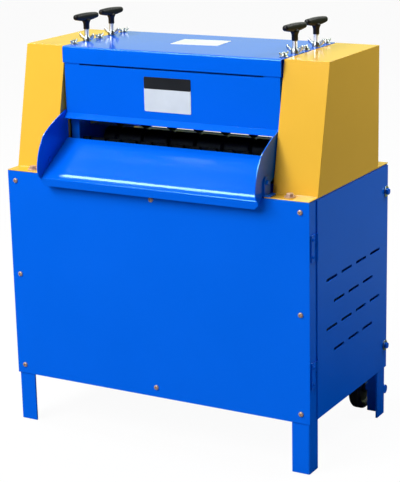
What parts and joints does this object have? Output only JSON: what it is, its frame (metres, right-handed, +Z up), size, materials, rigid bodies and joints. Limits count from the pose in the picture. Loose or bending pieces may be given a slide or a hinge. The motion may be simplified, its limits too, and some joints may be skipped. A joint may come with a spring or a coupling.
{
  "type": "wire stripping machine",
  "caption": "Wire stripping machine: sheet-metal cabinet with a vented door, sloping infeed tray, feed roller under knife discs, tee-handled press screws, side covers and rear wheels.",
  "frame": {"origin": "middle of the footprint at floor level, between the switch buttons and the door screws and between the tray's nose and the wheels", "axes": "+Z up, +X to the right of someone who feeds wire, -Y towards that person"},
  "size_m": [0.7466, 0.4592, 0.858],
  "materials": {
    "blue_paint": "glossy blue powder coat",
    "yellow_paint": "glossy yellow powder coat",
    "bright_steel": "machined steel, lightly oiled",
    "zinc": "zinc plated",
    "bearing_iron": "painted casting",
    "grey_casting": "painted casting",
    "grip_plastic": "moulded, satin",
    "box_plastic": "moulded, fine grain",
    "gland_plastic": "moulded, satin",
    "red_button": "gloss",
    "green_button": "gloss",
    "wheel_rubber": "solid black tread"
  },
  "bodies": {
    "root": {"leg_front_right": "blue_paint", "leg_front_left": "blue_paint", "leg_rear_right": "blue_paint", "leg_rear_left": "blue_paint", "lower_frame": "blue_paint", "top_plate": "blue_paint", "front_panel": "blue_paint", "left_panel": "blue_paint", "rear_panel": "blue_paint", "door_hinge_lower": "blue_paint", "door_hinge_upper": "blue_paint", "side_frame_right": "blue_paint", "side_frame_left": "blue_paint", "crosshead_right": "blue_paint", "crosshead_left": "blue_paint", "lid": "blue_paint", "front_guard": "blue_paint", "tray_bracket_right": "blue_paint", "tray_bracket_left": "blue_paint", "outfeed_chute": "blue_paint", "cover_right": "yellow_paint", "cover_left": "yellow_paint", "wire_guide": "bright_steel", "drive_chain": "bright_steel", "lower_bearing_right": "bearing_iron", "lower_bearing_left": "bearing_iron", "gearbox": "grey_casting", "motor": "grey_casting", "switch_box": "box_plastic", "cable_gland": "gland_plastic"},
    "door": {"side_door": "blue_paint"},
    "door_screw_low": {"door_screw_lower": "bright_steel"},
    "door_screw_high": {"door_screw_upper": "bright_steel"},
    "tray": {"infeed_tray": "blue_paint"},
    "feed": {"lower_shaft": "bright_steel", "feed_roller": "bright_steel", "lower_gear": "bright_steel", "driven_sprocket": "bright_steel"},
    "carriage": {"bearing_block_right": "bright_steel", "bearing_block_left": "bright_steel"},
    "knife": {"knife_shaft": "bright_steel", "knife_stack": "bright_steel", "upper_gear": "bright_steel"},
    "drive": {"drive_sprocket": "bright_steel"},
    "stop": {"stop_button": "red_button"},
    "start": {"start_button": "green_button"},
    "roll_right": {"wheel_right": "wheel_rubber"},
    "roll_left": {"wheel_left": "wheel_rubber"},
    "press_front_left": {"press_screw_front_left": "bright_steel", "tee_grip_front_left": "grip_plastic"},
    "nut_front_left": {"lock_wing_nut_front_left": "zinc"},
    "press_rear_left": {"press_screw_rear_left": "bright_steel", "tee_grip_rear_left": "grip_plastic"},
    "nut_rear_left": {"lock_wing_nut_rear_left": "zinc"},
    "press_front_right": {"press_screw_front_right": "bright_steel", "tee_grip_front_right": "grip_plastic"},
    "nut_front_right": {"lock_wing_nut_front_right": "zinc"},
    "press_rear_right": {"press_screw_rear_right": "bright_steel", "tee_grip_rear_right": "grip_plastic"},
    "nut_rear_right": {"lock_wing_nut_rear_right": "zinc"}
  },
  "joints": [
    {"name": "door_swing", "type": "hinge", "parent": "root", "child": "door", "pos_m": [0.367, -0.1671, 0.327], "axis": [0, 0, -1], "range_deg": [0, 110]},
    {"name": "door_screw_low_turn", "type": "hinge", "parent": "door", "child": "door_screw_low", "pos_m": [0.366, 0.1679, 0.155], "axis": [1, 0, 0], "continuous": true},
    {"name": "door_screw_high_turn", "type": "hinge", "parent": "door", "child": "door_screw_high", "pos_m": [0.366, 0.1679, 0.49], "axis": [1, 0, 0], "continuous": true},
    {"name": "tray_tilt", "type": "hinge", "parent": "root", "child": "tray", "pos_m": [0.021, -0.1861, 0.575], "axis": [-1, 0, 0], "range_deg": [0, 9]},
    {"name": "feed_spin", "type": "hinge", "parent": "root", "child": "feed", "pos_m": [0.021, 0.0069, 0.587], "axis": [1, 0, 0], "continuous": true},
    {"name": "knife_spin", "type": "hinge", "parent": "carriage", "child": "knife", "pos_m": [0.021, 0.0069, 0.659], "axis": [1, 0, 0], "continuous": true},
    {"name": "drive_spin", "type": "hinge", "parent": "root", "child": "drive", "pos_m": [0.311, -0.0801, 0.205], "axis": [1, 0, 0], "continuous": true},
    {"name": "carriage_lift", "type": "slide", "parent": "root", "child": "carriage", "axis": [0, 0, 1], "range_m": [0, 0.004]},
    {"name": "press_front_left_turn", "type": "hinge", "parent": "carriage", "child": "press_front_left", "pos_m": [-0.219, -0.0411, 0.82], "axis": [0, 0, 1], "range_deg": [0, 960]},
    {"name": "nut_front_left_turn", "type": "hinge", "parent": "root", "child": "nut_front_left", "pos_m": [-0.219, -0.0411, 0.805], "axis": [0, 0, 1], "continuous": true},
    {"name": "press_rear_left_turn", "type": "hinge", "parent": "carriage", "child": "press_rear_left", "pos_m": [-0.219, 0.0549, 0.82], "axis": [0, 0, 1], "range_deg": [0, 960]},
    {"name": "nut_rear_left_turn", "type": "hinge", "parent": "root", "child": "nut_rear_left", "pos_m": [-0.219, 0.0549, 0.805], "axis": [0, 0, 1], "continuous": true},
    {"name": "press_front_right_turn", "type": "hinge", "parent": "carriage", "child": "press_front_right", "pos_m": [0.261, -0.0411, 0.82], "axis": [0, 0, 1], "range_deg": [0, 960]},
    {"name": "nut_front_right_turn", "type": "hinge", "parent": "root", "child": "nut_front_right", "pos_m": [0.261, -0.0411, 0.805], "axis": [0, 0, 1], "continuous": true},
    {"name": "press_rear_right_turn", "type": "hinge", "parent": "carriage", "child": "press_rear_right", "pos_m": [0.261, 0.0549, 0.82], "axis": [0, 0, 1], "range_deg": [0, 960]},
    {"name": "nut_rear_right_turn", "type": "hinge", "parent": "root", "child": "nut_rear_right", "pos_m": [0.261, 0.0549, 0.805], "axis": [0, 0, 1], "continuous": true},
    {"name": "start_press", "type": "slide", "parent": "root", "child": "start", "axis": [1, 0, 0], "range_m": [0, 0.003], "stiffness_N_per_m": 400, "springref_m": -0.002},
    {"name": "stop_press", "type": "slide", "parent": "root", "child": "stop", "axis": [1, 0, 0], "range_m": [0, 0.003], "stiffness_N_per_m": 400, "springref_m": -0.002},
    {"name": "wheel_right_roll", "type": "hinge", "parent": "root", "child": "roll_right", "pos_m": [0.309, 0.1806, 0.051], "axis": [1, 0, 0], "continuous": true},
    {"name": "wheel_left_roll", "type": "hinge", "parent": "root", "child": "roll_left", "pos_m": [-0.267, 0.1806, 0.051], "axis": [1, 0, 0], "continuous": true}
  ],
  "couplings": [
    {"joint": "knife_spin", "follows": "feed_spin", "ratio": -0.6},
    {"joint": "drive_spin", "follows": "feed_spin", "ratio": 1.4286},
    {"joint": "press_front_left_turn", "follows": "carriage_lift", "rad_per_m": 4188.7},
    {"joint": "press_rear_left_turn", "follows": "carriage_lift", "rad_per_m": 4188.7},
    {"joint": "press_front_right_turn", "follows": "carriage_lift", "rad_per_m": 4188.7},
    {"joint": "press_rear_right_turn", "follows": "carriage_lift", "rad_per_m": 4188.7}
  ]
}
